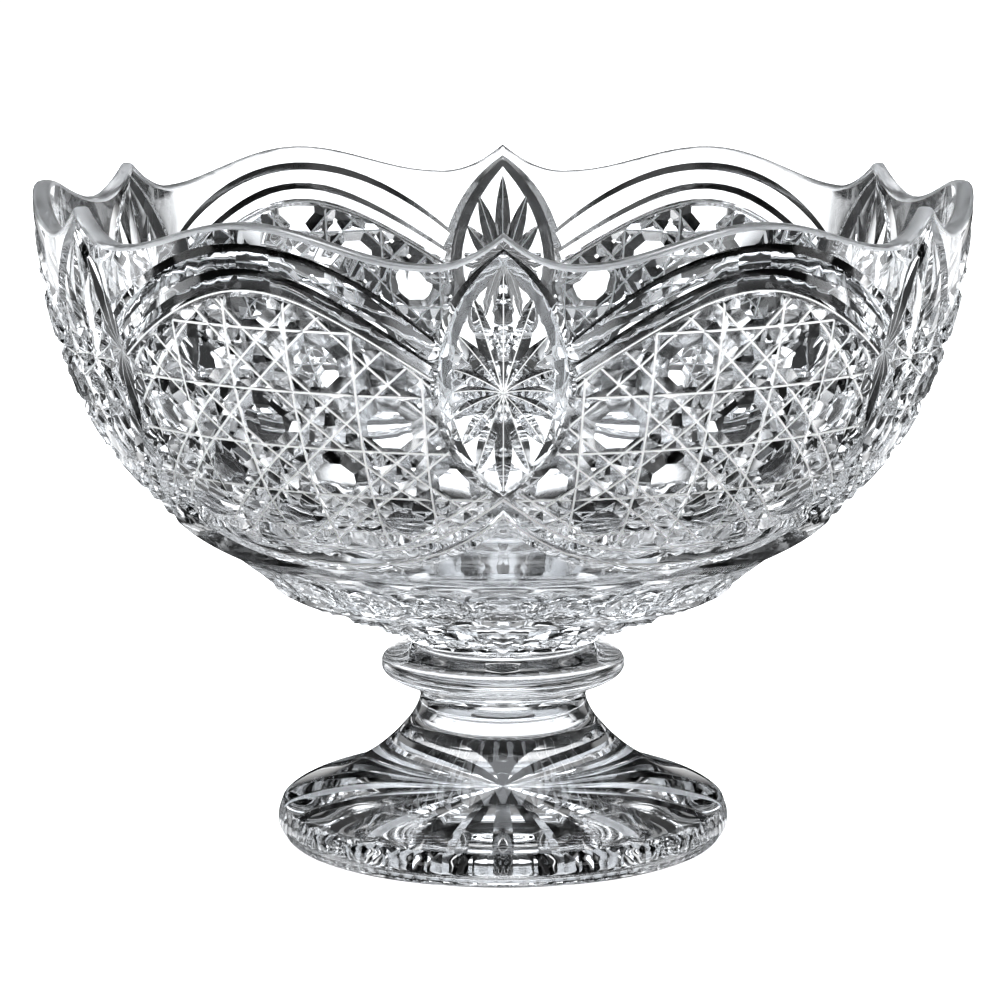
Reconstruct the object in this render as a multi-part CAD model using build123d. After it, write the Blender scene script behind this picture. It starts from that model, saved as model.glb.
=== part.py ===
from build123d import *
import math
import os

# Footed cut-crystal punch bowl. Millimetres. +Z is up and the origin is the centre of the
# face the foot rests on. One rim peak points to -Y (azimuth 0); azimuth grows towards +X.

# ---- overall ----
BOWL_R = 177.8            # over two opposite rim lobes: a 14 in bowl
LOBE_Z = 253.8            # top of each smooth rim lobe
PEAK_Z = 252.7            # tip of each rim peak
VALLEY_Z = 241.7          # lowest point of the rim, either side of a peak
PANELS = 6                # lobes, and peaks, round the rim
VALLEY_DEG = 8.3          # valley each side of a peak
VALLEY_FLAT = 0.8         # the rim is level for this much either side of a valley's lowest point
WALL_RIM = 6.3            # glass thickness at the rim

# ---- bonded joints in the stem ----
FILM = 0.2                # cured adhesive between two ground faces
FOOT_TOP = 57.4
RING_BOTTOM = FOOT_TOP + FILM
RING_TOP = 75.4
BOWL_BOTTOM = RING_TOP + FILM
LOWER_R = 33.0            # ground face between foot and ring
UPPER_R = 34.2            # ground face between ring and bowl
FILM_INSET = 0.6          # film stops short of the edge of the ground face

# ---- bowl outline, from the stem out to the rim ----
UNDERSIDE = ((41.0, 79.6), (62.6, 88.0), (77.9, 94.2), (88.5, 99.6))
LEDGE_IN, LEDGE_OUT = (88.5, 101.2), (96.4, 107.0)      # band that carries the thumbprints
BAND_TOP = (106.3, 115.0)
WALL = ((122.1, 124.0), (134.3, 136.0), (152.2, 157.0), (165.6, 184.0), (172.9, 208.0),
        (176.4, 230.0))
INSIDE_FLOOR_Z = 99.0
INSIDE = ((45.0, 102.0), (76.0, 110.5), (101.8, 123.9), (127.9, 143.0), (144.2, 162.2),
          (156.7, 187.2), (166.4, 218.0))

# ---- cuts in the bowl ----
ALMOND_HALF_W, ALMOND_LOW, ALMOND_HIGH = 22.6, 157.0, 245.0
ALMOND_DEPTH = 3.0
PRINTS = 24               # thumbprint hollows low on the bowl
PRINT_DEPTH, PRINT_WHEEL_R, PRINT_CROWN_R = 2.2, 14.5, 46.0

# ---- ring ----
RING_SIDE = ((34.6, 58.4), (40.3, 61.0), (45.7, 64.0), (47.2, 67.0), (46.0, 70.2),
             (40.6, 73.0), (35.4, 74.7))

# ---- foot ----
FOOT_R = 88.2
REST_R_OUT, REST_R_IN = 84.0, 81.5
FLARE_C, FLARE_R = (96.6, 90.9), 75.8     # arc of the upper face of the foot
NECK_R, NECK_Z = 32.1, 54.0
RECESS_Z = 1.0            # hollow under the foot, at its centre
RAYS, RAY_START, RAY_END = 24, 9.0, 78.0
RAY_DEPTH = 2.4           # at the outer end; it fades to nothing at the axis
RAY_SPLAY = 3.6           # half width of a ray over its depth
FLUTES, FLUTE_R, FLUTE_DEPTH = 48, 24.0, 0.65


def around(shape, azimuth):
    """Turn a shape built at azimuth 0 (facing -Y) to another azimuth."""
    return shape.rotate(Axis.Z, azimuth)


def ring_of(shape, count, start=0.0):
    """Copies of a cutter at equal steps about the axis."""
    return [around(shape, start + 360.0 * i / count) for i in range(count)]


def radial_prism(outline, near, far):
    """Extrude a closed (across, up) outline outwards, towards azimuth 0."""
    face = make_face(Plane.XZ * outline)
    return extrude(face.moved(Location((0, -near, 0))), amount=far - near, dir=(0, -1, 0))


def outer_wall(inset=0.0):
    """Curve of the cut wall from the thumbprint band up to the rim."""
    points = [(r - inset, z) for r, z in (BAND_TOP, *WALL, (BOWL_R, LOBE_Z + 4))]
    return Spline(*points)


def bowl_blank():
    """The blown bowl before cutting: a thick shell turned about the axis."""
    top = LOBE_Z + 4
    under = Spline((UPPER_R, BOWL_BOTTOM), *UNDERSIDE)
    band = Polyline(UNDERSIDE[-1], LEDGE_IN, LEDGE_OUT, BAND_TOP)
    rim = Line((BOWL_R, top), (BOWL_R - WALL_RIM, top))
    inside = Spline((BOWL_R - WALL_RIM, top), *reversed(INSIDE), (0, INSIDE_FLOOR_Z),
                    tangents=[(0.0, -1.0), (-1.0, 0.0)])
    core = Polyline((0, INSIDE_FLOOR_Z), (0, BOWL_BOTTOM), (UPPER_R, BOWL_BOTTOM))
    outline = make_face(Plane.XZ * (under + band + outer_wall() + rim + inside + core))
    return revolve(outline, Axis.Z)


def valley_sides(x, over):
    """Close a rim curve that ends in two valleys at -x and x, up to a height."""
    far = x + VALLEY_FLAT
    return Polyline((x, VALLEY_Z), (far, VALLEY_Z), (far, over), (-far, over),
                    (-far, VALLEY_Z), (-x, VALLEY_Z))


def rim_cutters():
    """Everything above the looped rim: six lobe arches and six concave-sided peaks."""
    lobe_half = 180.0 / PANELS - VALLEY_DEG
    lobe_x = BOWL_R * math.sin(math.radians(lobe_half))
    peak_x = BOWL_R * math.sin(math.radians(VALLEY_DEG))
    over = LOBE_Z + 20
    lobe = Spline((-lobe_x, VALLEY_Z), (0, LOBE_Z), (lobe_x, VALLEY_Z),
                  tangents=[(1, 0), (1, 0), (1, 0)])
    lobe += valley_sides(lobe_x, over)
    mid_z = VALLEY_Z + (PEAK_Z - VALLEY_Z) / 4
    peak = ThreePointArc((-peak_x, VALLEY_Z), (-peak_x / 2, mid_z), (0, PEAK_Z))
    peak += ThreePointArc((0, PEAK_Z), (peak_x / 2, mid_z), (peak_x, VALLEY_Z))
    peak += valley_sides(peak_x, over)
    lobe_cut = radial_prism(lobe, 120, 200)
    peak_cut = radial_prism(peak, 120, 200)
    return ring_of(lobe_cut, PANELS, 180.0 / PANELS) + ring_of(peak_cut, PANELS)


def almond_cutters():
    """Pointed almond hollows below the rim peaks, of even depth in the wall."""
    middle = (ALMOND_LOW + ALMOND_HIGH) / 2
    outline = ThreePointArc((0, ALMOND_LOW), (ALMOND_HALF_W, middle), (0, ALMOND_HIGH))
    outline += ThreePointArc((0, ALMOND_HIGH), (-ALMOND_HALF_W, middle), (0, ALMOND_LOW))
    top = (BOWL_R - ALMOND_DEPTH, LOBE_Z + 4)
    base = (BAND_TOP[0] - ALMOND_DEPTH, BAND_TOP[1])
    sides = outer_wall(ALMOND_DEPTH) + Polyline(top, (0, top[1]), (0, base[1]), base)
    core = revolve(make_face(Plane.XZ * sides), Axis.Z)
    return ring_of(radial_prism(outline, 110, 200) - core, PANELS)


def thumbprint_cutters():
    """Barrel-shaped wheels that grind the row of oval hollows into the lower band."""
    rise = math.radians(40)       # the band's face looks outwards and down
    r_mid = (LEDGE_OUT[0] + BAND_TOP[0]) / 2 - 2.0
    z_mid = (LEDGE_OUT[1] + BAND_TOP[1]) / 2 - 2.0
    out = PRINT_WHEEL_R - PRINT_DEPTH
    centre = (0, -(r_mid + out * math.sin(rise)), z_mid - out * math.cos(rise))
    half = 16.0
    sag = PRINT_CROWN_R - math.sqrt(PRINT_CROWN_R ** 2 - half ** 2)
    crown = ThreePointArc((-half, PRINT_WHEEL_R - sag), (0, PRINT_WHEEL_R),
                          (half, PRINT_WHEEL_R - sag))
    ends = Polyline((half, PRINT_WHEEL_R - sag), (half, 0), (-half, 0),
                    (-half, PRINT_WHEEL_R - sag))
    wheel = revolve(make_face(Plane.XY * (crown + ends)), Axis.X)
    return ring_of(wheel.moved(Location(centre)), PRINTS)


def bowl():
    """The bowl: looped rim, almond hollows and a thumbprint band."""
    cutters = rim_cutters() + almond_cutters() + thumbprint_cutters()
    return bowl_blank() - cutters


def ring_knop():
    """Ring in the stem, with a ground face top and bottom."""
    side = Spline((LOWER_R, RING_BOTTOM), *RING_SIDE, (UPPER_R, RING_TOP))
    core = Polyline((UPPER_R, RING_TOP), (0, RING_TOP), (0, RING_BOTTOM), (LOWER_R, RING_BOTTOM))
    return revolve(make_face(Plane.XZ * (side + core)), Axis.Z)


def film(radius, z):
    """Clear adhesive cured between two ground faces."""
    return Pos(0, 0, z) * Cylinder(radius - FILM_INSET, FILM, align=(Align.CENTER, Align.CENTER,
                                                                     Align.MIN))


def flare_z(r):
    """Height of the foot's upper face at a radius."""
    return FLARE_C[1] - math.sqrt(FLARE_R ** 2 - (FLARE_C[0] - r) ** 2)


def foot_blank():
    """The foot before cutting: neck, trumpet-shaped upper face and hollow underside."""
    flare = ThreePointArc((75.0, flare_z(75.0)), (52.0, flare_z(52.0)), (36.0, flare_z(36.0)))
    neck = Spline((36.0, flare_z(36.0)), (NECK_R, NECK_Z), (LOWER_R, FOOT_TOP))
    edge = Spline((REST_R_OUT, 0), (FOOT_R - 0.5, 3.8), (FOOT_R, 7.0), (FOOT_R - 2.0, 12.8),
                  (75.0, flare_z(75.0)))
    under = Line((REST_R_IN, 0), (0, RECESS_Z))
    rest = Line((REST_R_OUT, 0), (REST_R_IN, 0))
    axis = Polyline((0, RECESS_Z), (0, FOOT_TOP), (LOWER_R, FOOT_TOP))
    return revolve(make_face(Plane.XZ * (flare + neck + edge + under + rest + axis)), Axis.Z)


def ray_cutters():
    """V-shaped mitre rays of the star under the foot, deepening towards the edge."""
    hollow_fall = RECESS_Z / REST_R_IN
    rise = RAY_DEPTH / RAY_END
    floor = RECESS_Z + RAY_START * (rise - hollow_fall)
    section = Polyline((-4 * RAY_SPLAY, -4), (0, 0), (4 * RAY_SPLAY, -4), (-4 * RAY_SPLAY, -4))
    groove = radial_prism(section, 0, RAY_END - RAY_START)
    groove = groove.rotate(Axis.X, math.degrees(math.atan(hollow_fall - rise)))
    return ring_of(groove.moved(Location((0, -RAY_START, floor))), RAYS)


def flute_cutters():
    """Shallow hollows side by side round the edge of the foot."""
    at = -(FOOT_R + FLUTE_R - FLUTE_DEPTH)
    return ring_of(Pos(0, at, 7.0) * Cylinder(FLUTE_R, 13.0), FLUTES)


def foot():
    """The foot: star-cut underside and fluted edge."""
    blank = foot_blank() - flute_cutters()
    for ray in ray_cutters():
        blank -= ray
    return blank


os.makedirs("parts", exist_ok=True)
NODES = {
    "bowl": bowl(),
    "bowl_bond": film(UPPER_R, RING_TOP),
    "ring_knop": ring_knop(),
    "foot_bond": film(LOWER_R, FOOT_TOP),
    "foot": foot(),
}
for name, shape in NODES.items():
    export_step(shape, f"parts/{name}.step")
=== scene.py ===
"""Footed cut-crystal punch bowl: the cut glass, its finishes and a plain studio."""
import logging
import math
from dataclasses import astuple, dataclass, field
from enum import Enum
from typing import Callable, Sequence

import bmesh
import bpy
import numpy as np
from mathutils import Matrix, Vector


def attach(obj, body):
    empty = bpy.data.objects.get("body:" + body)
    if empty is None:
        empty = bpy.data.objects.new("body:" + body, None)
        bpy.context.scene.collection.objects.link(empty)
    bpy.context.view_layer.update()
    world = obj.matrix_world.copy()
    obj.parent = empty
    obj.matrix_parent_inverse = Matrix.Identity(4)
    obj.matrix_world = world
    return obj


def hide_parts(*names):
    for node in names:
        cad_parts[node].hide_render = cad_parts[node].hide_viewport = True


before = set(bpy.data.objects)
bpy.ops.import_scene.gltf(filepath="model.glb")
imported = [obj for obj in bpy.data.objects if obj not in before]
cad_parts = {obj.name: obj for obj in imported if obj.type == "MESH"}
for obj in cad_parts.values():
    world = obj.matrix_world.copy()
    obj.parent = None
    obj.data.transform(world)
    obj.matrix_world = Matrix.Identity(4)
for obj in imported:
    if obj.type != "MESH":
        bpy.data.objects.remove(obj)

logging.basicConfig(level=logging.INFO, format="%(message)s")
LOG = logging.getLogger("punch_bowl")

MM = 0.001
DEG = math.pi / 180
Points = np.ndarray  # n x 2: degrees round from a peak, height up the sheet
Values = np.ndarray  # one number for each point
Rule = Callable[[Points], Values]  # how deep a wall of a cut lies, or how far off a line is


class Face(Enum):
    """What a face of the glass is."""

    POLISHED = 0  # the blank's own fire-polished surface
    CUT = 1  # facet of the cane field, acid-polished
    VALLEY = 2  # fine frosted line that the wheel's edge leaves
    GROUND = 3  # flat face bonded to the next piece
    LIP = 4  # rounded edge of the rim, softened by the fire


# ---------------------------- cut sheets

@dataclass
class CutSheet:
    """A flat sheet of triangles whose edges follow every crease that the wheel leaves.

    Each point has a place on the sheet and the depth of glass cut away there.
    """

    columns: Sequence[float]
    rows: Sequence[float]
    least: float = 0.004  # shortest edge that is made, and least depth that counts
    under: float = 0.002  # how far a valley lies below the old surface
    slack: float = 0.01  # how far a third wall may cut into a valley
    place: Points = field(init=False)
    depth: Values = field(init=False)
    tris: np.ndarray = field(init=False)
    kind: np.ndarray = field(init=False)

    def __post_init__(self) -> None:
        """Lay out the uncut sheet as a grid."""
        across, up = len(self.columns), len(self.rows)
        self.place = np.array([(c, r) for r in self.rows for c in self.columns], float)
        self.depth = np.zeros(len(self.place))
        cell = np.arange((across - 1) * (up - 1))
        column, row = cell % (across - 1), cell // (across - 1)
        a = row * across + column
        b, c, e = a + 1, a + across, a + across + 1
        even = ((row + column) % 2 == 0)[:, None]
        self.tris = np.vstack([np.where(even, np.c_[a, b, e], np.c_[a, b, c]),
                               np.where(even, np.c_[a, e, c], np.c_[b, e, c])])
        self.kind = np.full(len(self.tris), Face.POLISHED.value)

    def _divide(self, choose: Callable[..., tuple]) -> None:
        """Split chosen edges, and every triangle that holds one.

        Args:
            choose: given the two ends of each edge, returns which to split and where.
        """
        tris, count = self.tris, len(self.place)
        edges = np.sort(np.vstack([tris[:, [0, 1]], tris[:, [1, 2]], tris[:, [2, 0]]]), axis=1)
        code, back = np.unique(edges[:, 0] * count + edges[:, 1], return_inverse=True)
        i, j = code // count, code % count
        chosen, at = choose(i, j)
        if not chosen.any():
            return
        fresh = np.full(len(code), -1)
        fresh[chosen] = count + np.arange(chosen.sum())
        i, j, at = i[chosen], j[chosen], at[chosen]
        gap = (self.place[j] - self.place[i]) * at[:, None]
        self.place = np.vstack([self.place, self.place[i] + gap])
        self.depth = np.r_[self.depth, self.depth[i] * (1 - at) + self.depth[j] * at]
        mid = fresh[back].reshape(3, len(tris)).T
        splits = (mid >= 0).sum(axis=1)
        parts = [tris[splits == 0]]
        kinds = [self.kind[splits == 0]]
        for k in range(3):
            a, b, c = (tris[:, (k + n) % 3] for n in range(3))
            ab, bc, ca = (mid[:, (k + n) % 3] for n in range(3))
            one = (splits == 1) & (ab >= 0)
            parts += [np.c_[a, ab, c][one], np.c_[ab, b, c][one]]
            kinds += [self.kind[one]] * 2
            two = (splits == 2) & (bc < 0)
            parts.append(np.c_[a, ab, ca][two])
            p, q, r, s = ab[two], b[two], c[two], ca[two]
            short = (np.linalg.norm(self.place[p] - self.place[r], axis=1)
                     <= np.linalg.norm(self.place[q] - self.place[s], axis=1))[:, None]
            parts += [np.where(short, np.c_[p, q, r], np.c_[p, q, s]),
                      np.where(short, np.c_[p, r, s], np.c_[q, r, s])]
            kinds += [self.kind[two]] * 3
        three = splits == 3
        a, b, c = tris[three].T
        ab, bc, ca = mid[three].T
        parts += [np.c_[a, ab, ca], np.c_[ab, b, bc], np.c_[ca, bc, c], np.c_[ab, bc, ca]]
        self.tris = np.vstack(parts)
        self.kind = np.concatenate([*kinds, *[self.kind[three]] * 4])

    def _crossings(self, value: Values, i: np.ndarray, j: np.ndarray) -> tuple:
        """Find the edges where a value changes sign, and how far along each.

        Args:
            value: the value at each point.
            i: first end of each edge.
            j: second end of each edge.

        Returns:
            A mask over the edges and the place of the crossing, 0 to 1.
        """
        a, b = value[i], value[j]
        crosses = a * b < 0
        at = np.where(crosses, a / np.where(crosses, a - b, 1.0), 0.5)
        length = np.linalg.norm(self.place[i] - self.place[j], axis=1)
        long = (at * length > self.least) & ((1 - at) * length > self.least)
        return crosses & long, at

    def carve(self, walls: Sequence[Rule], face: Face = Face.POLISHED) -> None:
        """Grind one cut: the glass goes down to the shallowest of the cut's walls.

        Args:
            walls: depth that each wall of the cut would reach, below 0 outside the cut.
            face: finish of the walls that don't name their own.
        """
        for first in range(len(walls)):
            for second in range(first + 1, len(walls)):
                rest = [w for n, w in enumerate(walls) if n not in (first, second)]
                value = walls[first](self.place) - walls[second](self.place)

                def valley(i: np.ndarray, j: np.ndarray) -> tuple:
                    """Choose edges, given by their ends, crossed below the old surface."""
                    mask, at = self._crossings(value, i, j)
                    k = np.flatnonzero(mask)
                    t = at[k][:, None]
                    spot = self.place[i[k]] * (1 - t) + self.place[j[k]] * t
                    old = self.depth[i[k]] * (1 - at[k]) + self.depth[j[k]] * at[k]
                    deep = walls[first](spot)
                    good = deep > old + self.under
                    for wall in rest:
                        good &= wall(spot) > deep - self.slack
                    mask[k] = good
                    return mask, at

                self._divide(valley)
        cut = np.min([wall(self.place) for wall in walls], axis=0)
        count = len(self.place)
        change = cut - self.depth
        self._divide(lambda i, j: self._crossings(change, i, j))
        self.depth[:count] = np.maximum(self.depth[:count], cut)
        middle = self.place[self.tris].mean(axis=1)
        reach = np.array([wall(middle) for wall in walls])
        now = self.depth[self.tris].mean(axis=1)
        cut_here = (reach.min(axis=0) > now - self.least) & (now > self.least)
        kinds = np.array([getattr(wall, "kind", face).value for wall in walls])
        self.kind[cut_here] = kinds[reach.argmin(axis=0)][cut_here]

    def keep(self, rule: Rule) -> None:
        """Trim the sheet along a line.

        Args:
            rule: positive on the part that is kept.
        """
        value = rule(self.place)
        self._divide(lambda i, j: self._crossings(value, i, j))
        kept = rule(self.place[self.tris].mean(axis=1)) > 0
        self.tris, self.kind = self.tris[kept], self.kind[kept]
        used, back = np.unique(self.tris, return_inverse=True)
        self.place, self.depth = self.place[used], self.depth[used]
        self.tris = back.reshape(-1, 3)

    def along(self, edge: np.ndarray) -> np.ndarray:
        """Numbers of the points where a mask over all points is true, in order round."""
        found = np.flatnonzero(edge)
        return found[np.argsort(self.place[found, 0])]


@dataclass(frozen=True)
class Mitre:
    """Sizes of a mitre cut: its depth and the width of the wall on each side."""

    deep: float
    above: float
    below: float


def groove(line: Rule, deep: float | Rule, above: float | Rule,
           below: float | Rule, *ends: Rule, valley: float = 0.0) -> list[Rule]:
    """Walls of a mitre cut that runs along a line.

    Args:
        line: signed distance from the valley.
        deep: depth of the valley.
        above: width of the wall where the distance is positive.
        below: width of the wall where the distance is negative.
        ends: further walls that stop the cut.
        valley: half width of the frosted line at the bottom, 0 for none.

    Returns:
        The walls, for CutSheet.carve.
    """
    def of(size: float | Rule, p: Points) -> Values | float:
        """A size that is either fixed or varies over the sheet."""
        return size(p) if callable(size) else size

    def bottom(p: Points) -> Values:
        """Narrow flat of the valley."""
        share = 1 - valley / np.minimum(of(above, p), of(below, p))
        return of(deep, p) * share + 0 * p[:, 0]

    walls = [lambda p: of(deep, p) * (1 - line(p) / of(above, p)),
             lambda p: of(deep, p) * (1 + line(p) / of(below, p)), *ends]
    if valley:
        bottom.kind = Face.VALLEY
        walls.append(bottom)
    return walls


def dimple(deep: float, middle: tuple[float, float], half: tuple[float, float]) -> Rule:
    """Bottom of a hollow that is an ellipse on the sheet.

    Args:
        deep: depth in the middle.
        middle: place of the middle.
        half: half the width and half the height.

    Returns:
        The wall, for CutSheet.carve.
    """
    return lambda p: deep * (1 - ((p[:, 0] - middle[0]) / half[0]) ** 2
                             - ((p[:, 1] - middle[1]) / half[1]) ** 2)


# ---------------------------- outlines

def smooth(points: Sequence[tuple], steps: int = 24) -> np.ndarray:
    """Smooth curve through points, as a dense run of points.

    Args:
        points: at least two (radius, height) points.
        steps: pieces for each span.

    Returns:
        The curve, n x 2.
    """
    pts = np.array(points, float)
    if len(pts) == 2:
        t = np.linspace(0, 1, steps)[:, None]
        return pts[0] * (1 - t) + pts[1] * t
    knots = np.r_[0, np.cumsum(np.linalg.norm(np.diff(pts, axis=0), axis=1) ** 0.5)]
    count = len(pts)
    gaps = np.diff(knots)
    system = np.zeros((count, count))
    right = np.zeros((count, 2))
    system[0, 0] = system[-1, -1] = 1
    for n in range(1, count - 1):
        system[n, n - 1:n + 2] = gaps[n - 1], 2 * (gaps[n - 1] + gaps[n]), gaps[n]
        right[n] = 6 * ((pts[n + 1] - pts[n]) / gaps[n] - (pts[n] - pts[n - 1]) / gaps[n - 1])
    bend = np.linalg.solve(system, right)
    out = []
    for n in range(count - 1):
        h = gaps[n]
        t = np.linspace(0, h, steps, endpoint=n == count - 2)[:, None]
        a, b = (h - t) / h, t / h
        out.append(a * pts[n] + b * pts[n + 1]
                   + ((a ** 3 - a) * bend[n] + (b ** 3 - b) * bend[n + 1]) * h * h / 6)
    return np.vstack(out)


@dataclass
class Outline:
    """A turned outline in millimetres, measured along its length."""

    runs: Sequence[np.ndarray]
    spot: np.ndarray = field(init=False)
    out: np.ndarray = field(init=False)
    length: Values = field(init=False)

    def __post_init__(self) -> None:
        """Join the runs, and find the way out of the glass and the length at each point."""
        pts = np.vstack(self.runs)
        keep = np.r_[True, np.linalg.norm(np.diff(pts, axis=0), axis=1) > 1e-4]
        self.spot = pts[keep]
        along = np.gradient(self.spot, axis=0)
        along /= np.linalg.norm(along, axis=1)[:, None]
        self.out = np.c_[along[:, 1], -along[:, 0]]
        self.length = np.r_[0, np.cumsum(np.linalg.norm(np.diff(self.spot, axis=0), axis=1))]

    def turns(self, zero: float) -> Values:
        """Height of each point up a sheet on which the glass unrolls without stretching shapes.

        Args:
            zero: height in millimetres where the count starts.

        Returns:
            Degrees, so that a degree up the sheet is as long as a degree round.
        """
        radius = self.spot[:, 0]
        step = np.diff(self.length) / ((radius[1:] + radius[:-1]) / 2)
        turn = np.r_[0, np.cumsum(step)] / DEG
        return turn - np.interp(zero, self.spot[:, 1], turn)


def turned(radius: Values, height: Values, degrees: Values) -> np.ndarray:
    """Points on the object, in metres, from radius and height in millimetres.

    Args:
        radius: distance from the axis.
        height: height above the table.
        degrees: turn from the front peak, towards +X.

    Returns:
        n x 3 points.
    """
    angle = np.asarray(degrees) * DEG
    return np.c_[radius * np.sin(angle), -radius * np.cos(angle), height + 0 * angle] * MM


def on_axis(*heights: float) -> np.ndarray:
    """Points on the object's axis, in metres, from heights in millimetres."""
    return turned(np.zeros(len(heights)), np.array(heights), np.zeros(len(heights)))


# ---------------------------- meshes

FINISH = "finish"  # what each face is, a number of Face
SEAM = 0.000012  # metres within which two sectors' points are joined


def new_mesh(name: str, points: np.ndarray, faces: Sequence, kinds: Sequence[int]
             ) -> bpy.types.Object:
    """Make a mesh object and mark what each face is.

    Args:
        name: name of the object.
        points: n x 3 points in metres.
        faces: point numbers of each face.
        kinds: number of Face for each face.

    Returns:
        The object, linked to the scene.
    """
    mesh = bpy.data.meshes.new(name)
    mesh.from_pydata(points.tolist(), [], [list(map(int, f)) for f in faces])
    mark = mesh.attributes.new(FINISH, "INT", "FACE")
    mark.data.foreach_set("value", list(map(int, kinds)))
    mesh.update()
    made = bpy.data.objects.new(name, mesh)
    bpy.context.scene.collection.objects.link(made)
    return made


def join_flat(mesh: bpy.types.Mesh, degrees: float) -> None:
    """Join neighbouring faces that have one finish and lie in one plane.

    Args:
        mesh: mesh to thin out, its outer edges left as they are.
        degrees: angle up to which two faces count as one plane.
    """
    work = bmesh.new()
    work.from_mesh(mesh)
    kind = work.faces.layers.int[FINISH]
    for face in work.faces:
        face.material_index = face[kind]
    bmesh.ops.dissolve_limit(work, angle_limit=degrees * DEG, use_dissolve_boundaries=False,
                             verts=work.verts, edges=work.edges, delimit={"MATERIAL"})
    bmesh.ops.triangulate(work, faces=work.faces)
    work.to_mesh(mesh)
    work.free()


def mirrored(points: np.ndarray, faces: Sequence) -> tuple[np.ndarray, list]:
    """Add the mirror image in X to a wedge.

    Args:
        points: n x 3 points.
        faces: point numbers of each face.

    Returns:
        The points and faces of both halves.
    """
    both = np.vstack([points, points * (-1, 1, 1)])
    return both, [*faces, *[[int(n) + len(points) for n in reversed(f)] for f in faces]]


def add_node(tree: bpy.types.NodeTree, kind: str, links: dict | None = None, **settings
             ) -> bpy.types.Node:
    """Add a node, set it and link it.

    Args:
        tree: node tree to add to.
        kind: Blender's name for the node.
        links: input name or number to a socket, or to a plain value.
        settings: attributes of the node.

    Returns:
        The node.
    """
    node = tree.nodes.new(kind)
    for name, value in settings.items():
        setattr(node, name, value)
    for key, value in (links or {}).items():
        if isinstance(value, bpy.types.NodeSocket):
            tree.links.new(value, node.inputs[key])
        else:
            node.inputs[key].default_value = value
    return node


def empty_tree(owner: bpy.types.Material | bpy.types.World) -> bpy.types.NodeTree:
    """Turn on the nodes of a material or world and clear them."""
    owner.use_nodes = True
    owner.node_tree.nodes.clear()
    return owner.node_tree


def round_the_axis(wedge: bpy.types.Object, copies: int,
                   finishes: dict[Face, bpy.types.Material], crease: float = 14.0
                   ) -> bpy.types.Object:
    """Repeat a wedge about the axis with Geometry Nodes and join the copies.

    Args:
        wedge: object that holds one sector.
        copies: number of sectors in a full turn.
        finishes: material of each kind of face.
        crease: least angle, in degrees, that stays a sharp edge.

    Returns:
        The whole piece, as a plain mesh at the origin.
    """
    tree = bpy.data.node_groups.new(f"{wedge.name}_round_the_axis", "GeometryNodeTree")
    face = tree.interface
    face.new_socket("Geometry", in_out="INPUT", socket_type="NodeSocketGeometry")
    number = face.new_socket("Sectors", in_out="INPUT", socket_type="NodeSocketInt")
    seam = face.new_socket("Seam", in_out="INPUT", socket_type="NodeSocketFloat")
    face.new_socket("Geometry", in_out="OUTPUT", socket_type="NodeSocketGeometry")
    given = add_node(tree, "NodeGroupInput").outputs
    line = add_node(tree, "GeometryNodeMeshLine", {
        "Count": given["Sectors"], "Offset": (0, 0, 0)})
    index = add_node(tree, "GeometryNodeInputIndex")
    step = add_node(tree, "ShaderNodeMath", {0: 2 * math.pi, 1: given["Sectors"]},
                    operation="DIVIDE")
    turn = add_node(tree, "ShaderNodeMath", {0: index.outputs[0], 1: step.outputs[0]},
                    operation="MULTIPLY")
    spin = add_node(tree, "ShaderNodeCombineXYZ", {"Z": turn.outputs[0]})
    copied = add_node(tree, "GeometryNodeInstanceOnPoints", {
        "Points": line.outputs[0], "Instance": given["Geometry"], "Rotation": spin.outputs[0]})
    real = add_node(tree, "GeometryNodeRealizeInstances", {0: copied.outputs[0]})
    joined = add_node(tree, "GeometryNodeMergeByDistance", {
        "Geometry": real.outputs[0], "Distance": given["Seam"]})
    kind = add_node(tree, "GeometryNodeInputNamedAttribute", {"Name": FINISH},
                    data_type="INT")
    shape = joined.outputs[0]
    for face_kind, material in finishes.items():
        same = add_node(tree, "FunctionNodeCompare", {
            2: kind.outputs["Attribute"], 3: face_kind.value},
            data_type="INT", operation="EQUAL")
        shape = add_node(tree, "GeometryNodeSetMaterial", {
            "Geometry": shape, "Selection": same.outputs[0],
            "Material": material}).outputs[0]
    add_node(tree, "NodeGroupOutput", {0: shape})
    modifier = wedge.modifiers.new("Sectors", "NODES")
    modifier.node_group = tree
    modifier[number.identifier] = copies
    modifier[seam.identifier] = SEAM
    graph = bpy.context.evaluated_depsgraph_get()
    mesh = bpy.data.meshes.new_from_object(wedge.evaluated_get(graph))
    wedge.modifiers.clear()
    wedge.data = mesh
    mesh.polygons.foreach_set("use_smooth", [True] * len(mesh.polygons))
    mesh.set_sharp_from_angle(angle=crease * DEG)
    return wedge


def grid_faces(rows: Sequence[np.ndarray]) -> list:
    """Quads between rows of point numbers, each row above the last."""
    return [(a[k], a[k + 1], b[k + 1], b[k])
            for a, b in zip(rows, rows[1:]) for k in range(len(a) - 1)]


# ---------------------------- finishes

def linear(code: str) -> tuple[float, float, float, float]:
    """Turn an sRGB hex colour into linear values."""
    parts = [int(code[n:n + 2], 16) / 255 for n in (1, 3, 5)]
    return (*[c / 12.92 if c <= 0.04045 else ((c + 0.055) / 1.055) ** 2.4 for c in parts], 1.0)


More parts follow.
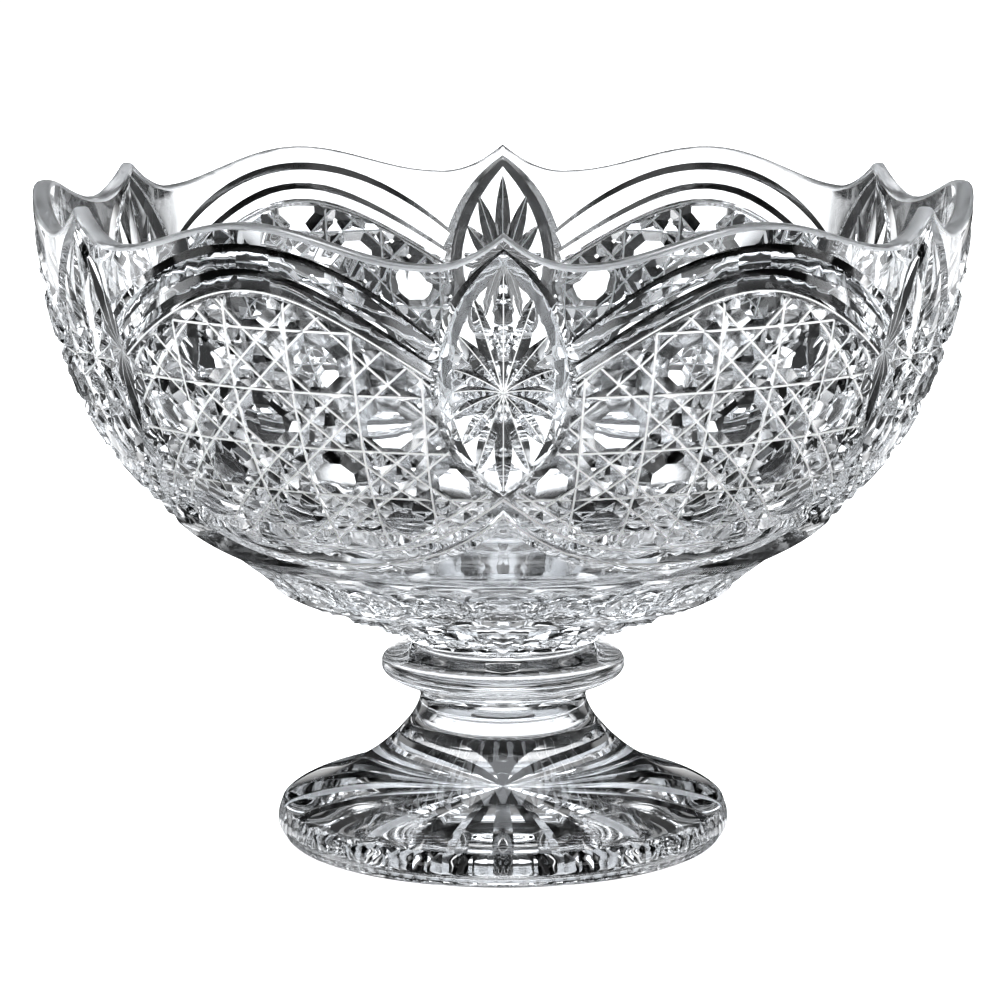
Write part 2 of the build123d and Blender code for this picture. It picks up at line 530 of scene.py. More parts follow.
@dataclass(frozen=True)
class LeadCrystal:
    """Lead crystal, wheel-cut and acid-polished: colourless, bright and heavy."""

    name: str
    colour: str = "#FBFCFD"
    index: float = 1.55  # lead crystal with about 24 percent lead oxide
    ripple_mm: float = 9.0  # slow waves that hand polishing leaves
    ripple_depth_mm: float = 0.004
    roughness: float = 0.0

    def material(self) -> bpy.types.Material:
        """Build the glass, clear with faint waves in what shows through it.

        Returns:
            The material.
        """
        made = bpy.data.materials.new(self.name)
        tree = empty_tree(made)
        where = add_node(tree, "ShaderNodeTexCoord")
        waves = add_node(tree, "ShaderNodeTexNoise", {
            "Vector": where.outputs["Object"], "Scale": 1000 / self.ripple_mm, "Detail": 1.0})
        bump = add_node(tree, "ShaderNodeBump", {
            "Height": waves.outputs[0], "Strength": 1.0,
            "Distance": self.ripple_depth_mm * MM})
        glass = add_node(tree, "ShaderNodeBsdfPrincipled", {
            "Base Color": linear(self.colour), "Roughness": self.roughness, "IOR": self.index,
            "Transmission Weight": 1.0, "Normal": bump.outputs[0]})
        add_node(tree, "ShaderNodeOutputMaterial", {"Surface": glass.outputs[0]})
        return made


@dataclass(frozen=True)
class FrostedLine:
    """Bottom of a mitre cut, where the stone's edge leaves the crystal matt: a fine white line."""

    name: str = "stone_ground_line"
    colour: str = "#FDFEFE"
    index: float = 1.55
    grit_mm: float = 10 / 9  # far coarser than the real grit, so that it shows
    rough_low: float = 0.35
    rough_high: float = 0.65

    def material(self) -> bpy.types.Material:
        """Build the matt line.

        Returns:
            The material.
        """
        made = bpy.data.materials.new(self.name)
        tree = empty_tree(made)
        where = add_node(tree, "ShaderNodeTexCoord")
        grit = add_node(tree, "ShaderNodeTexNoise", {
            "Vector": where.outputs["Object"], "Scale": 1000 / self.grit_mm, "Detail": 2.0})
        rough = add_node(tree, "ShaderNodeMapRange", {
            "Value": grit.outputs[0], "To Min": self.rough_low, "To Max": self.rough_high})
        matt = add_node(tree, "ShaderNodeBsdfPrincipled", {
            "Base Color": linear(self.colour), "Roughness": rough.outputs[0],
            "IOR": self.index, "Transmission Weight": 0.0})
        add_node(tree, "ShaderNodeOutputMaterial", {"Surface": matt.outputs[0]})
        return made


@dataclass(frozen=True)
class BondedFace:
    """Optically clear acrylic, cured between two ground faces: it matches the glass, so light
    goes straight through the joint."""

    name: str = "clear_bond_on_ground_crystal"
    colour: str = "#FEFEFE"

    def material(self) -> bpy.types.Material:
        """Build the clear joint.

        Returns:
            The material.
        """
        made = bpy.data.materials.new(self.name)
        tree = empty_tree(made)
        clear = add_node(tree, "ShaderNodeBsdfTransparent", {"Color": linear(self.colour)})
        add_node(tree, "ShaderNodeOutputMaterial", {"Surface": clear.outputs[0]})
        return made


# ---------------------------- bowl

@dataclass
class Bowl:
    """The bowl: one sector of six, from a rim peak to the middle of a lobe each way."""

    peaks: int = 6
    # rim, base and inside, millimetres
    lobe_z: float = 253.8
    peak_z: float = 252.7
    valley_z: float = 241.7
    valley_at: float = 8.3  # degrees from a peak
    lip: float = 2.2  # height of the rounded lip
    lip_square: float = 0.7  # 1 for a half round, less for a squarer lip
    lip_rows: int = 10
    inside_rows: int = 29
    base_z: float = 75.6
    base_r: float = 34.2
    floor_z: float = 99.0
    # from here on, degrees on the sheet
    line: float = 0.135  # half width of the frosted lines
    plane: float = 0.9  # angle within which faces lie in one plane
    # cane field: octagon buttons and small crossed squares
    cell_round: float = 8.2
    cell_up: float = 7.7
    cane_cut: Mitre = Mitre(1.12, 1.4, 1.4)
    cane_stop: float = 1.6  # slope of the end wall of each cut
    # arches over the field, steep above and easy below, and what they lose towards their ends
    arch_top: float = 20.4
    arch_fall: float = 0.019
    arch_high_cut: Mitre = Mitre(0.65, 1.0, 1.9)
    arch_high_loss: Mitre = Mitre(0.24, 0.45, 0.3)
    arch_low_top: float = 28.8  # where the straight ends of the second arch would meet
    arch_low_round: float = 11.0
    arch_low_lean: float = 0.8
    arch_low_cut: Mitre = Mitre(0.6, 0.9, 1.75)
    arch_low_loss: Mitre = Mitre(0.2, 0.35, 0.0)
    arch_stop: float = 1.2
    border_drop: float = 1.75  # from the second arch to the fine line under it
    border_cut: Mitre = Mitre(0.55, 0.55, 0.6)
    # swags under the field: even powers of one line, and points on the other
    swag_high_powers: tuple = (-23.18, -1.2, 24.9, -11.4)
    swag_low_points: tuple = ((5.3, -28.1), (15.2, -25.5), (21.8, -22.5), (27.5, -17.2))
    swag_high_cut: Mitre = Mitre(0.8, 0.8, 1.6)
    swag_low_cut: Mitre = Mitre(0.8, 1.6, 1.0)
    # almond with a star in it
    almond_mid: float = 5.3
    almond_tall: float = 16.8  # half its height
    almond_arc: float = 20.5
    almond_half: float = 7.7
    almond_cut: Mitre = Mitre(1.05, 1.1, 1.7)
    star_mid: float = 5.1
    star_rays: tuple = ((0, 5.6), (27, 6.2), (54, 8.4), (73, 11.5), (90, 13.8),
                        (-27, 6.2), (-54, 8.4), (-73, 11.5), (-90, 13.8))  # angle and reach
    ray_deep: float = 0.8
    ray_slope: float = 0.72
    ray_flat: float = 0.05  # height of the frosted line over the ray's valley
    # thumbprints and net of diamonds under the bowl
    thumb_mid: float = -44.5
    thumb_wide: float = 7.75
    thumb_tall: float = 8.0
    thumb_deep: float = 1.5
    net_low_z: float = 78.2  # millimetres
    net_top_z: float = 97.6
    net_gap: float = 15.0
    net_cut: Mitre = Mitre(2.6, 5.3, 5.3)
    net_stop: float = 0.9
    outline: Outline = field(init=False)
    climb: Values = field(init=False)
    inside: Outline = field(init=False)
    swag_low: Callable[[Values], Values] = field(init=False)

    def __post_init__(self) -> None:
        """Lay out the outer and inner outlines and the lower swag."""
        under = smooth([(self.base_r, self.base_z), (41.0, 79.6), (62.6, 88.0), (77.9, 94.2),
                        (88.5, 99.6)])
        edge = smooth([(88.5, 99.6), (88.5, 101.2)], 8)
        band = smooth([(88.5, 101.2), (96.4, 107.0)])
        step = smooth([(96.4, 107.0), (106.3, 115.0)])
        wall = smooth([(106.3, 115.0), (122.1, 124.0), (134.3, 136.0), (152.2, 157.0),
                       (165.6, 184.0), (172.9, 208.0), (176.4, 230.0), (177.8, 258.0)])
        self.outline = Outline([under, edge, band, step, wall])
        self.climb = self.outline.turns(183.5)
        inside = smooth([(171.5, 258.0), (166.4, 218.0), (156.7, 187.2), (144.2, 162.2),
                         (127.9, 143.0), (101.8, 123.9), (76.0, 110.5), (45.0, 102.0),
                         (0.0, self.floor_z)])
        self.inside = Outline([inside])
        self.swag_low = even_curve(self.swag_low_points)

    # ---- rim and lines of the pattern ----

    def rim_height(self, w: Values) -> Values:
        """Height of the rim.

        Args:
            w: degrees from a peak.

        Returns:
            Millimetres above the table.
        """
        lobe_half = 30 - self.valley_at
        u = np.clip(30 - w, 0, lobe_half)
        lobe = (self.valley_z + (self.lobe_z - self.valley_z)
                * (1 + np.cos(np.pi * u / lobe_half)) / 2)
        near = np.clip(1 - w / self.valley_at, 0, 1)
        peak = self.valley_z + (self.peak_z - self.valley_z) * near ** 2
        return np.where(w < self.valley_at, peak, lobe)

    def up(self, height: Values) -> Values:
        """Place on the sheet of a height in millimetres."""
        return np.interp(height, self.outline.spot[:, 1], self.climb)

    @staticmethod
    def above(curve: Callable[[Values], Values]) -> Rule:
        """Rule for the signed distance above a curve.

        Args:
            curve: height over degrees from the lobe's middle.

        Returns:
            The rule.
        """
        def distance(p: Points) -> Values:
            """Distance of each point."""
            u = 30 - p[:, 0]
            slope = (curve(u + 0.01) - curve(u - 0.01)) / 0.02
            return (p[:, 1] - curve(u)) / np.sqrt(1 + slope ** 2)
        return distance

    def arch_high(self, u: Values) -> Values:
        """Upper arch over the cane field."""
        return self.arch_top - self.arch_fall * u ** 2

    def arch_low(self, u: Values) -> Values:
        """Second arch."""
        return self.arch_low_top - np.sqrt(self.arch_low_round ** 2
                                           + (self.arch_low_lean * u) ** 2)

    def border(self, u: Values) -> Values:
        """Fine line that closes the cane field under the arches."""
        return self.arch_low(u) - self.border_drop

    def swag_high(self, u: Values) -> Values:
        """Upper line of the swag under the cane field."""
        return sum(c * (u / 30) ** (2 * n) for n, c in enumerate(self.swag_high_powers))

    def from_almond(self, p: Points) -> Values:
        """Signed distance outwards from the valley of the almond."""
        return np.hypot(p[:, 0] + self.almond_arc - self.almond_half,
                        p[:, 1] - self.almond_mid) - self.almond_arc

    # ---- cutting ----

    def cut_cane(self, sheet: CutSheet) -> None:
        """Cut the cane field: upright, level and doubled diagonal mitres.

        Args:
            sheet: the sector's sheet.
        """
        border, low = self.above(self.border), self.above(self.swag_high)

        def room(p: Points) -> Values:
            """How far a point is inside the field."""
            return np.minimum.reduce([-border(p), self.from_almond(p) - 0.3, low(p)])

        def stop(p: Points) -> Values:
            """End wall of every cut of the field."""
            return self.cane_stop * room(p)

        lines: list[Rule] = []
        for k in (0.5, 1.5, 2.5):
            lines.append(lambda p, k=k: 30 - p[:, 0] - k * self.cell_round)
        for k in (-2.5, -1.5, -0.5, 0.5, 1.5):
            lines.append(lambda p, k=k: p[:, 1] - k * self.cell_up)
        size = (self.cell_round + self.cell_up) / 2 / math.sqrt(2)
        for k in range(-2, 4):
            for off in (-0.707, 0.707):
                for lean in (1, -1):
                    lines.append(lambda p, k=k, off=off, lean=lean: size * (
                        (30 - p[:, 0]) / self.cell_round + lean * p[:, 1] / self.cell_up
                        - 2 * k - off))
        for line in lines:
            sheet.carve(groove(line, *astuple(self.cane_cut), stop, valley=self.line),
                        Face.CUT)

    def cut_arches(self, sheet: CutSheet) -> None:
        """Cut the fine border line and the two arches.

        Args:
            sheet: the sector's sheet.
        """
        def clear(p: Points) -> Values:
            """End wall where an arch runs into the almond."""
            return self.arch_stop * self.from_almond(p)

        def fade(p: Points) -> Values:
            """0 in the middle of the lobe, 1 at the ends of the arches."""
            return np.clip((30 - p[:, 0]) / 22, 0, 1.2) ** 2

        sheet.carve(groove(self.above(self.border), *astuple(self.border_cut), clear,
                           valley=self.line * 0.7))
        for curve, cut, loss in ((self.arch_low, self.arch_low_cut, self.arch_low_loss),
                                 (self.arch_high, self.arch_high_cut, self.arch_high_loss)):
            sizes = [lambda p, full=full, less=less: full - less * fade(p)
                     for full, less in zip(astuple(cut), astuple(loss))]
            sheet.carve(groove(self.above(curve), *sizes, clear))

    def cut_swags(self, sheet: CutSheet) -> None:
        """Cut the two lines that sag from almond to almond.

        Args:
            sheet: the sector's sheet.
        """
        for curve, cut in ((self.swag_high, self.swag_high_cut),
                           (self.swag_low, self.swag_low_cut)):
            sheet.carve(groove(self.above(curve), *astuple(cut), valley=self.line))

    def cut_almond(self, sheet: CutSheet) -> None:
        """Cut the almond's outline and the star of leaf-shaped rays in it.

        Args:
            sheet: the sector's sheet.
        """
        def full(p: Points) -> Values:
            """1 at the almond's waist, near 0 at its tips."""
            return np.clip(1 - ((p[:, 1] - self.almond_mid) / self.almond_tall) ** 2, 0.02, 1)

        cut = self.almond_cut
        sheet.carve(groove(self.from_almond, lambda p: cut.deep * full(p) ** 0.45,
                           lambda p: cut.above * full(p) ** 0.45,
                           lambda p: cut.below * full(p) ** 0.4))
        for angle, reach in self.star_rays:
            c, s = math.cos(angle * DEG), math.sin(angle * DEG)

            def along(p: Points, c: float = c, s: float = s) -> Values:
                """Distance out along the ray."""
                return p[:, 0] * c + (p[:, 1] - self.star_mid) * s

            def off(p: Points, c: float = c, s: float = s) -> Values:
                """Distance to the side of the ray."""
                return -p[:, 0] * s + (p[:, 1] - self.star_mid) * c

            def deep(p: Points, reach: float = reach) -> Values:
                """Leaf shape: deepest half way out."""
                half = reach / 2
                return self.ray_deep * (1 - ((along(p) - half) / (half + 0.3)) ** 2)

            def bottom(p: Points, deep: Rule = deep) -> Values:
                """Frosted line along the ray."""
                return deep(p) - self.ray_flat

            bottom.kind = Face.VALLEY
            sheet.carve([lambda p, deep=deep, off=off: deep(p) - self.ray_slope * off(p),
                         lambda p, deep=deep, off=off: deep(p) + self.ray_slope * off(p),
                         bottom])
        sheet.carve([dimple(0.55, (2.5, -10.0), (1.6, 0.85))])

    def cut_underside(self, sheet: CutSheet) -> None:
        """Cut the thumbprint flutes and the net of diamonds over the stem.

        Args:
            sheet: the sector's sheet.
        """
        for middle in (0, 15, 30):
            sheet.carve([dimple(self.thumb_deep, (middle, self.thumb_mid),
                                (self.thumb_wide, self.thumb_tall))])
        low, top = self.up(self.net_low_z), self.up(self.net_top_z)

        def stop(p: Points) -> Values:
            """Upper and lower ends of the net."""
            return np.minimum(self.net_stop * (top - p[:, 1]), self.net_stop * (p[:, 1] - low))

        for k in range(-8, 1):
            for lean in (1, -1):
                sheet.carve(groove(
                    lambda p, k=k, lean=lean: (p[:, 1] - self.net_gap * k + self.net_gap / 2
                                               - lean * p[:, 0]) / math.sqrt(2),
                    *astuple(self.net_cut), stop))

    def sector(self) -> tuple[np.ndarray, list, list]:
        """Cut one wedge and close it with the lip, the inside and the base.

        Returns:
            Points in metres, faces, and what each face is.
        """
        corners = [self.climb[0], *[self.up(z) for z in (99.6, 101.2, 107.0, 115.0)]]
        rows = np.unique(np.r_[np.linspace(self.climb[0], corners[1], 19),
                               np.linspace(corners[2], corners[3], 5),
                               np.linspace(corners[3], corners[4], 5),
                               np.linspace(corners[4], -29, 7), np.linspace(-29, 24.6, 32)])
        columns = np.r_[np.linspace(0, 8.4, 11)[:-1], np.linspace(8.4, 30, 11)]
        sheet = CutSheet(columns, rows)
        self.cut_cane(sheet)
        self.cut_arches(sheet)
        self.cut_swags(sheet)
        self.cut_almond(sheet)
        self.cut_underside(sheet)

        def below_rim(p: Points) -> Values:
            """Distance below the lip."""
            return self.up(self.rim_height(p[:, 0]) - self.lip) - p[:, 1]

        sheet.keep(below_rim)
        w, v = sheet.place.T
        radius, height = (np.interp(v, self.climb, self.outline.spot[:, n]) for n in (0, 1))
        out_r, out_z = (np.interp(v, self.climb, self.outline.out[:, n]) for n in (0, 1))
        deep = sheet.depth * radius * DEG
        points = [turned(radius - deep * out_r, height - deep * out_z, w)]
        faces = [tuple(t) for t in sheet.tris]
        kinds = sheet.kind.tolist()

        top = sheet.along(np.abs(below_rim(sheet.place)) < 1e-3)
        w_top = w[top]
        rim_z = self.rim_height(w_top)
        rows_up = [top]
        inner_r = np.interp(-(rim_z - self.lip), -self.inside.spot[:, 1],
                            self.inside.spot[:, 0])
        outer_r = np.interp(v[top], self.climb, self.outline.spot[:, 0])

        def add_row(r: Values, z: Values) -> None:
            """Add a row of points over the last one."""
            points.append(turned(r, z, w_top))
            rows_up.append(sum(map(len, points[:-1])) + np.arange(len(top)))

        for angle in np.linspace(0, np.pi, self.lip_rows + 1)[1:]:
            bulge = np.sign(np.cos(angle)) * abs(np.cos(angle)) ** self.lip_square
            add_row((outer_r + inner_r) / 2 + (outer_r - inner_r) / 2 * bulge,
                    rim_z - self.lip * (1 - np.sin(angle) ** self.lip_square))
        depth_in = self.inside.length
        start = np.interp(-(rim_z - self.lip), -self.inside.spot[:, 1], depth_in)
        for share in np.linspace(0, 1, self.inside_rows + 1)[1:-1]:
            at = start * (1 - share) + depth_in[-1] * share
            add_row(*(np.interp(at, depth_in, self.inside.spot[:, n]) for n in (0, 1)))
        lip = grid_faces(rows_up[:self.lip_rows + 1])
        inner = grid_faces(rows_up[self.lip_rows:])
        count = sum(map(len, points))
        points.append(on_axis(self.floor_z))
        inner += [(rows_up[-1][k], rows_up[-1][k + 1], count) for k in range(len(top) - 1)]
        count += 1
        faces += lip + inner
        kinds += [Face.LIP.value] * len(lip) + [Face.POLISHED.value] * len(inner)

        low = sheet.along(v < self.climb[0] + 1e-6)
        points.append(on_axis(self.base_z))
        base = [(low[k + 1], low[k], count) for k in range(len(low) - 1)]
        faces += base
        kinds += [Face.GROUND.value] * len(base)
        return np.vstack(points), faces, kinds

    def build(self, finishes: dict[Face, bpy.types.Material]) -> bpy.types.Object:
        """Make the whole bowl and let it stand for its CAD node.

        Args:
            finishes: material of each kind of face.

        Returns:
            The bowl.
        """
        points, faces, kinds = self.sector()
        points, faces = mirrored(points, faces)
        wedge = new_mesh("cut_bowl", points, faces, kinds * 2)
        join_flat(wedge.data, self.plane)
        made = round_the_axis(wedge, self.peaks, finishes)
        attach(made, "root")
        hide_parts("bowl")
        return made


def even_curve(points: Sequence[tuple]) -> Callable[[Values], Values]:
    """Curve through points that is the same on both sides of zero.

    Args:
        points: (degrees from the lobe's middle, height) pairs.

    Returns:
        The curve's height over degrees.
    """
    u, v = np.array(points, float).T
    powers = np.linalg.lstsq(np.stack([(u / 30) ** n for n in (0, 2, 4)], axis=1), v,
                             rcond=None)[0]
    return lambda x: sum(c * (x / 30) ** n for c, n in zip(powers, (0, 2, 4)))


# ---------------------------- stem and foot

@dataclass
class Ring:
    """The ring in the stem, turned and polished."""

    sides: int = 96
    low_z: float = 57.6
    top_z: float = 75.4
    low_r: float = 33.0
    top_r: float = 34.2

    def build(self, finishes: dict[Face, bpy.types.Material]) -> bpy.types.Object:
        """Make the ring and let it stand for its CAD node.

        Args:
            finishes: material of each kind of face.

        Returns:
            The ring.
        """
        side = smooth([(self.low_r, self.low_z), (34.6, 58.4), (40.3, 61.0), (45.7, 64.0),
                       (47.2, 67.0), (46.0, 70.2), (40.6, 73.0), (35.4, 74.7),
                       (self.top_r, self.top_z)], 6)
        turn = np.array([0.0, 360 / self.sides])
        points = [turned(r, z, turn) for r, z in side]
        rows = [np.array([2 * n, 2 * n + 1]) for n in range(len(side))]
        faces = grid_faces(rows)
        kinds = [Face.POLISHED.value] * len(faces)
        count = 2 * len(side)
        points.append(on_axis(self.low_z, self.top_z))
        faces += [(1, 0, count), (count - 2, count - 1, count + 1)]
        wedge = new_mesh("stem_ring", np.vstack(points), faces,
                         kinds + [Face.GROUND.value] * 2)
        made = round_the_axis(wedge, self.sides, finishes, 30)
        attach(made, "root")
        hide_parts("ring_knop")
        return made


@dataclass
class Foot:
    """The foot: trumpet-shaped above, fluted at the edge and star-cut below."""

    rays: int = 24
    top_z: float = 57.4
    top_r: float = 33.0
    edge_r: float = 88.2
    rest_out: float = 84.0
    rest_in: float = 81.5
    hollow_z: float = 1.0
    ray_deep: float = 2.6
    flute_deep: float = 0.8
    flute_half: float = 3.72  # degrees
    flare_mid: tuple[float, float] = (96.6, 90.9)  # middle of the upper face's arc
    flare_r: float = 75.8
    outline: Outline = field(init=False)

    def __post_init__(self) -> None:
        """Lay out the outline from under the foot, round its edge and up to the joint."""
        def flare(r: float) -> tuple[float, float]:
            """Point on the arc of the upper face."""
            across, up = self.flare_mid
            return r, up - math.sqrt(self.flare_r ** 2 - (across - r) ** 2)

        under = smooth([(0.5, self.hollow_z), (self.rest_in, 0.0)], 40)
        rest = smooth([(self.rest_in, 0.0), (self.rest_out, 0.0)], 4)
        edge = smooth([(self.rest_out, 0.0), (self.edge_r - 0.5, 3.8), (self.edge_r, 7.0),
                       (self.edge_r - 2.0, 12.8), flare(75.0)])
        top = smooth([flare(r) for r in (75, 65, 55, 48, 42, 38, 35.6)]
                     + [(32.1, 54.0), (self.top_r, self.top_z)])
        self.outline = Outline([under, rest, edge, top])

    def build(self, finishes: dict[Face, bpy.types.Material]) -> bpy.types.Object:
        """Make the foot and let it stand for its CAD node.

        Args:
            finishes: material of each kind of face.

        Returns:
            The foot.
        """
        line = self.outline
        rest_at = np.hypot(self.rest_in - 0.5, self.hollow_z)
        rows = np.r_[np.linspace(0, rest_at - 2.0, 16), rest_at,
                     np.linspace(rest_at + 2.5, rest_at + 30, 34),
                     np.linspace(rest_at + 31.5, line.length[-1], 36)]
        half = 180 / self.rays
        sheet = CutSheet(np.linspace(0, half, 9), rows)

        def size(p: Points) -> Values:
            """Radius at each point."""
            return np.interp(p[:, 1], line.length, line.spot[:, 0])

        def ray(p: Points) -> Values:
            """Share of a ray's depth that the distance from its valley leaves."""
            span = size(p) / 78
            leaf = np.clip(1.04 - span ** 6, 0, 1) ** 0.5
            return self.ray_deep * (0.15 + 0.85 * span) * leaf - 0.5 * size(p) * p[:, 0] * DEG

        sheet.carve([ray, lambda p: 0.9 * (rest_at - 2.5 - p[:, 1])])
        low, high = rest_at + 3.4, rest_at + 18.0
        for middle in (half / 4, half * 3 / 4):
            def flute(p: Points, middle: float = middle) -> Values:
                """Hollow of one flute."""
                across = (p[:, 0] - middle) / self.flute_half
                up = np.clip((p[:, 1] - high + 3) / 3, 0, None)
                down = np.clip((low + 2 - p[:, 1]) / 2, 0, None)
                return self.flute_deep * (1 - across ** 2 - up ** 2 - down ** 2)

            sheet.carve([flute])
        w, at = sheet.place.T
        radius, height = (np.interp(at, line.length, line.spot[:, n]) for n in (0, 1))
        out_r, out_z = (np.interp(at, line.length, line.out[:, n]) for n in (0, 1))
        points = turned(radius - sheet.depth * out_r, height - sheet.depth * out_z, w)
        faces = [tuple(t) for t in sheet.tris]
        kinds = sheet.kind.tolist()
        count = len(points)
        ends = on_axis(self.hollow_z, self.top_z)
        for number, edge in enumerate((at < 1e-6, at > line.length[-1] - 1e-6)):
            ring = sheet.along(edge)
            for a, b in zip(ring, ring[1:]):
                faces.append((b, a, count) if number == 0 else (a, b, count + 1))
                kinds.append((Face.POLISHED, Face.GROUND)[number].value)
        both, faces = mirrored(np.vstack([points, ends]), faces)
        wedge = new_mesh("cut_foot", both, faces, kinds * 2)
        made = round_the_axis(wedge, self.rays, finishes, 12)
        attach(made, "root")
        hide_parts("foot")
        return made


# ---------------------------- studio

def shade_ramp(tree: bpy.types.NodeTree, value: bpy.types.NodeSocket, stops: Sequence[tuple]
               ) -> bpy.types.NodeSocket:
    """Grey that changes along a value.

    Args:
        tree: node tree to build in.
        value: what the grey follows, 0 to 1.
        stops: (value, grey) pairs.

    Returns:
        The grey.
    """
    node = add_node(tree, "ShaderNodeValToRGB", {0: value})
    elements = node.color_ramp.elements
    while len(elements) < len(stops):
        elements.new(0.5)
    top = max(grey for _, grey in stops)
    for element, (at, grey) in zip(elements, stops):
        element.position = at
        element.color = (grey / top, grey / top, grey / top, 1)
    scaled = add_node(tree, "ShaderNodeMath", {0: node.outputs[0], 1: top},
                      operation="MULTIPLY")
    return scaled.outputs[0]


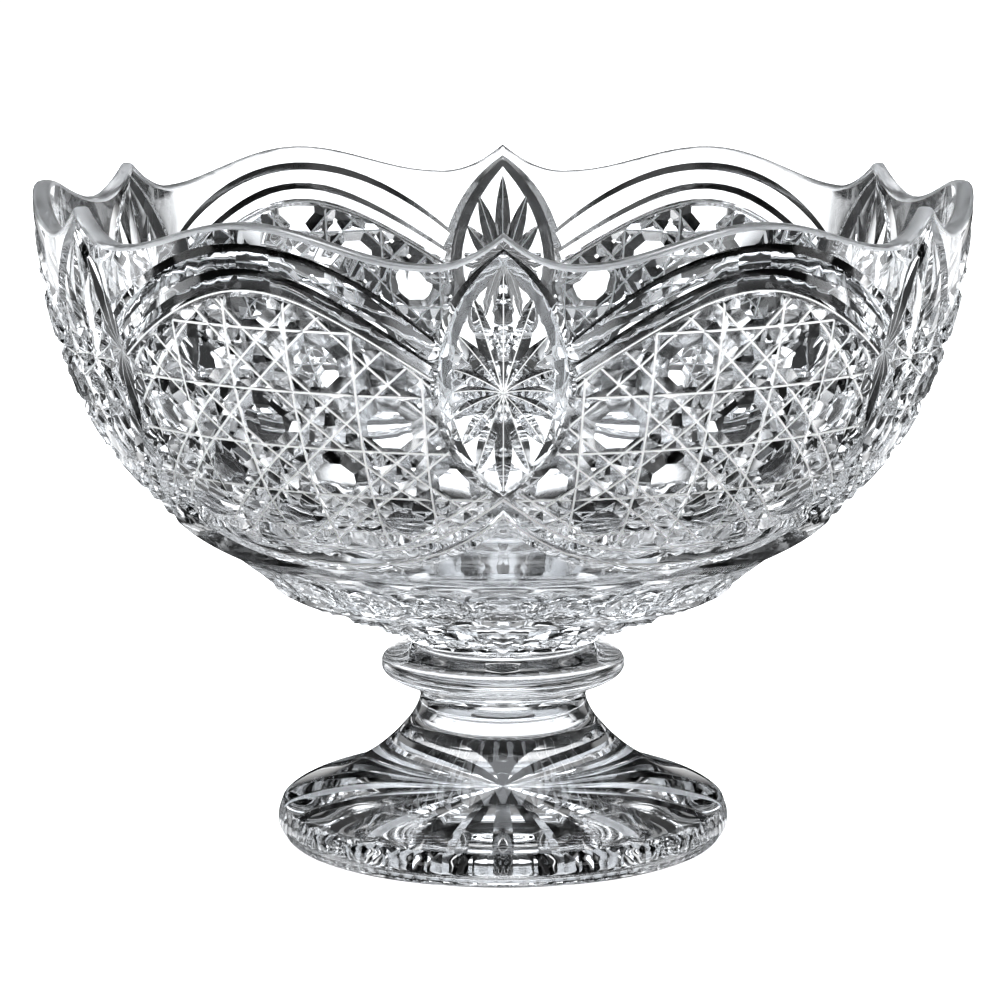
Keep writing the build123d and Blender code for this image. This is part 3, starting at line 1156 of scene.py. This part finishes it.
@dataclass
class Studio:
    """Pale floor that glows for the camera and shows painted shade through the glass, soft light
    from a white surround and the camera.
    """

    target: tuple[float, float, float] = (-0.00116, 0.0, 0.130557)
    distance: float = 1.48568
    lift: float = 10.152  # degrees above the horizon
    lens: float = 138.88
    panel_count: float = 8.0
    panel_edge: tuple[float, float] = (0.0, 0.42)
    gap: float = 0.02
    wall: tuple = ((0.0, 1.05), (0.09, 1.05), (0.16, 0.0))
    overhead: tuple = ((0.5, 0.0), (0.56, 0.06), (0.86, 0.06), (0.9, 1.0))
    box_light: float = 4.5
    sky: str = "#EAEEF3"              # cool light of the box
    matt_fill: float = 1.9  # extra light that only matt faces catch
    behind: float = 1.05  # brightness of the plain background
    floor_size: float = 6.0  # metres from the middle to an edge
    floor_pale: float = 0.94
    floor_glow: float = 0.5  # the floor's own light, which thins the shadow
    # painted shade: the floor's grey by distance from the middle, a dark ring round the bowl that
    # only rays through the glass see
    painted_floor_shade: tuple = ((0.0, 1.0), (0.1, 0.95), (0.15, 0.01), (0.34, 0.01), (0.5, 0.94))

    def floor(self) -> None:
        """Lay a pale floor that glows for the camera; rays through the glass see painted shade on
        it, a dark ring round the bowl and dark gaps between panels.
        """
        mesh = bpy.data.meshes.new("floor")
        size = self.floor_size
        corners = [(-size, -size, 0), (size, -size, 0), (size, size, 0), (-size, size, 0)]
        mesh.from_pydata(corners, [], [(0, 1, 2, 3)])
        floor = bpy.data.objects.new("floor", mesh)
        bpy.context.scene.collection.objects.link(floor)
        paint = bpy.data.materials.new("pale_studio_floor")
        tree = empty_tree(paint)
        where = add_node(tree, "ShaderNodeTexCoord")
        far = add_node(tree, "ShaderNodeVectorMath", {0: where.outputs["Object"]},
                       operation="LENGTH")
        # painted shade: rays that are not camera rays see the floor dark near the bowl and between
        # panels; the camera sees it plain pale
        ramp = shade_ramp(tree, far.outputs["Value"], self.painted_floor_shade)
        lobes = self.panels(tree, where.outputs["Object"])
        painted_shade_in_glass = add_node(tree, "ShaderNodeMath", {0: ramp, 1: lobes}, operation="MULTIPLY")
        path = add_node(tree, "ShaderNodeLightPath")
        shade = add_node(tree, "ShaderNodeMix", {
            0: path.outputs["Is Camera Ray"], 2: painted_shade_in_glass.outputs[0], 3: self.floor_pale})
        matt = add_node(tree, "ShaderNodeBsdfDiffuse", {"Color": shade.outputs[0]})
        lift = add_node(tree, "ShaderNodeMath", {
            0: path.outputs["Is Camera Ray"], 1: self.floor_glow}, operation="MULTIPLY")
        glow = add_node(tree, "ShaderNodeEmission", {"Strength": lift.outputs[0]})
        lit = add_node(tree, "ShaderNodeAddShader", {0: matt.outputs[0], 1: glow.outputs[0]})
        add_node(tree, "ShaderNodeOutputMaterial", {"Surface": lit.outputs[0]})
        mesh.materials.append(paint)

    def surround(self) -> None:
        """White walls all round, a dark band above them and a soft box overhead."""
        world = bpy.data.worlds.new("white_surround")
        bpy.context.scene.world = world
        tree = empty_tree(world)
        where = add_node(tree, "ShaderNodeTexCoord")
        split = add_node(tree, "ShaderNodeSeparateXYZ", {0: where.outputs["Generated"]})
        low = shade_ramp(tree, split.outputs["Z"], self.wall)
        lobes = self.panels(tree, where.outputs["Generated"])
        wall = add_node(tree, "ShaderNodeMath", {0: low, 1: lobes}, operation="MULTIPLY")
        box = shade_ramp(tree, split.outputs["Z"], self.overhead)
        both = add_node(tree, "ShaderNodeMath", {0: box, 1: self.box_light, 2: wall.outputs[0]},
                        operation="MULTIPLY_ADD")
        path = add_node(tree, "ShaderNodeLightPath")
        fill = add_node(tree, "ShaderNodeMath", {
            0: path.outputs["Is Diffuse Ray"], 1: self.matt_fill, 2: both.outputs[0]},
            operation="MULTIPLY_ADD")
        seen = add_node(tree, "ShaderNodeMix", {
            0: path.outputs["Is Camera Ray"], 2: fill.outputs[0], 3: self.behind})
        tint = add_node(tree, "ShaderNodeMix", {0: box, 6: (1, 1, 1, 1), 7: linear(self.sky)},
                        data_type="RGBA")
        light = add_node(tree, "ShaderNodeBackground", {
            0: tint.outputs[2], 1: seen.outputs[0]})
        add_node(tree, "ShaderNodeOutputWorld", {0: light.outputs[0]})

    def panels(self, tree: bpy.types.NodeTree, place: bpy.types.NodeSocket
               ) -> bpy.types.NodeSocket:
        """White panels all round with dark gaps between them.

        Args:
            tree: node tree to build in.
            place: a direction, or a point on the floor, where the gaps are painted shade.

        Returns:
            1 in front of a panel and the gap's shade between two.
        """
        split = add_node(tree, "ShaderNodeSeparateXYZ", {0: place})
        round_at = add_node(tree, "ShaderNodeMath", {
            0: split.outputs["X"], 1: split.outputs["Y"]}, operation="ARCTAN2")
        turns = add_node(tree, "ShaderNodeMath", {
            0: round_at.outputs[0], 1: self.panel_count}, operation="MULTIPLY")
        wave = add_node(tree, "ShaderNodeMath", {0: turns.outputs[0]}, operation="COSINE")
        edge = add_node(tree, "ShaderNodeMapRange", {
            0: wave.outputs[0], 1: self.panel_edge[0], 2: self.panel_edge[1],
            3: self.gap, 4: 1.0})
        return edge.outputs[0]

    def camera(self) -> None:
        """Set the camera."""
        data = bpy.data.cameras.new("camera")
        data.lens = self.lens
        data.sensor_width = 36.0
        data.clip_end = 50.0
        camera = bpy.data.objects.new("camera", data)
        back = Vector((0, -math.cos(self.lift * DEG), math.sin(self.lift * DEG)))
        camera.location = Vector(self.target) + back * self.distance
        camera.rotation_mode = "QUATERNION"
        camera.rotation_quaternion = (-back).to_track_quat("-Z", "Y")
        bpy.context.scene.collection.objects.link(camera)
        bpy.context.scene.camera = camera

    def build(self) -> None:
        """Set up floor, light and camera, and let light pass through many faces of glass."""
        self.floor()
        self.surround()
        self.camera()
        scene = bpy.context.scene
        scene.view_settings.view_transform = "Standard"
        scene.cycles.max_bounces = 32
        scene.cycles.transmission_bounces = 32
        scene.cycles.glossy_bounces = 16
        scene.cycles.transparent_max_bounces = 32
        scene.cycles.blur_glossy = 0.2


def main() -> None:
    """Build the bowl, the ring, the foot and the studio."""
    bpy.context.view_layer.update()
    finishes = {
        Face.POLISHED: LeadCrystal("polished_lead_crystal").material(),
        Face.CUT: LeadCrystal("acid_polished_cut_crystal", roughness=0.07).material(),
        Face.VALLEY: FrostedLine().material(),
        Face.LIP: LeadCrystal("fire_softened_lip", roughness=0.3).material(),  # satin sheen
        Face.GROUND: BondedFace().material(),
    }
    for part in (Bowl(), Ring(), Foot()):
        made = part.build(finishes)
        LOG.info("%s: %d faces", made.name, len(made.data.polygons))
    for node in ("bowl_bond", "foot_bond"):
        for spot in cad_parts[node].material_slots:
            spot.material = finishes[Face.GROUND]
        LOG.info("%s: the CAD film, cleared", node)
    Studio().build()


if __name__ == "__main__":
    main()
